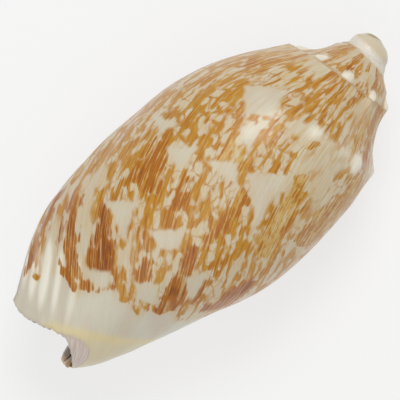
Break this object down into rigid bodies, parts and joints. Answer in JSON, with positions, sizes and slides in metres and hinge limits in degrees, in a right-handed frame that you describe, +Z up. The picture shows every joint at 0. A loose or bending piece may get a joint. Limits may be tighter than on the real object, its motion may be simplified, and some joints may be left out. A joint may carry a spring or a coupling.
{
  "type": "volute sea shell",
  "caption": "Glossy volute sea shell with a domed top, a knobbed shoulder, one tall last whorl and a long open mouth, lying on its mouth as an ornament.",
  "frame": {"origin": "on the floor under the middle of the shell's box", "axes": "+Z up, +X toward the domed apex, -X toward the siphonal notch; the mouth and lip face the floor"},
  "size_m": [0.1, 0.0498, 0.042],
  "materials": {
    "shell": "glossy cream shell with an orange-brown net and blotches"
  },
  "bodies": {
    "root": {"shell": "shell"}
  },
  "joints": []
}
